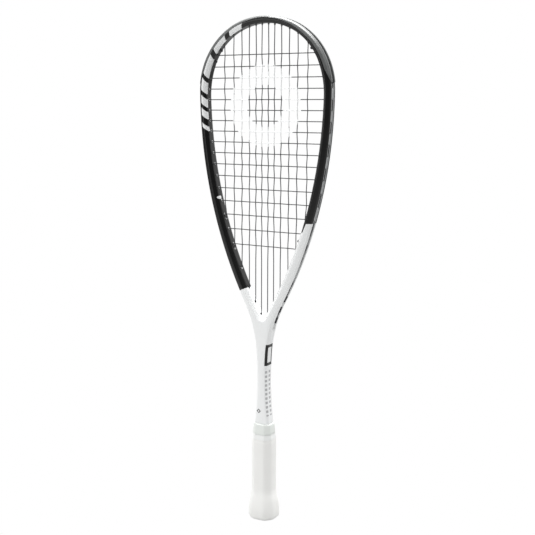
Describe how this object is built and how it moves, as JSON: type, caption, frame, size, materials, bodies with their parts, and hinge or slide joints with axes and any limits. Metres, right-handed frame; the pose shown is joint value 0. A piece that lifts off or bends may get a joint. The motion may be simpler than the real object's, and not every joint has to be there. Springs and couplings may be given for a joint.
{
  "type": "squash racket",
  "caption": "Strung teardrop squash racket: hollow tubular frame with an open throat, crown bumper, grommet strips, woven strings and an octagonal wrapped handle with a flared butt.",
  "frame": {"origin": "middle of the butt's flat end", "axes": "+Z runs from the butt to the tip of the head, +X across the head and +Y through the string plane, away from the front"},
  "size_m": [0.1988, 0.0396, 0.686],
  "materials": {
    "frame": "semi-gloss lacquer over graphite, white throat and shaft, black beams",
    "bumper": "semi-gloss grey nylon",
    "grommets": "satin pale grey nylon",
    "throat_grommets": "satin dark grey nylon",
    "strings": "coated multifilament nylon",
    "foam": "moulded polyurethane foam",
    "cap": "moulded plastic",
    "staples": "bright wire",
    "tape": "adhesive tape",
    "grip": "smooth cushioned synthetic leather",
    "collar": "matt soft rubber"
  },
  "bodies": {
    "root": {"frame": "frame", "bumper_guard": "bumper", "grommet_strip_left": "grommets", "grommet_strip_right": "grommets", "throat_grommet_left_1": "throat_grommets", "throat_grommet_left_2": "throat_grommets", "throat_grommet_left_3": "throat_grommets", "throat_grommet_right_1": "throat_grommets", "throat_grommet_right_2": "throat_grommets", "throat_grommet_right_3": "throat_grommets", "main_string": "strings", "cross_string": "strings", "main_knot_left": "strings", "main_knot_right": "strings", "cross_knot_start": "strings", "cross_knot_end": "strings", "handle_foam": "foam", "butt_cap": "cap", "butt_cap_staples": "staples", "grip_start_staple": "staples", "grip_backing_tape": "tape", "grip": "grip", "finishing_tape": "tape", "rubber_collar": "collar"}
  },
  "joints": []
}
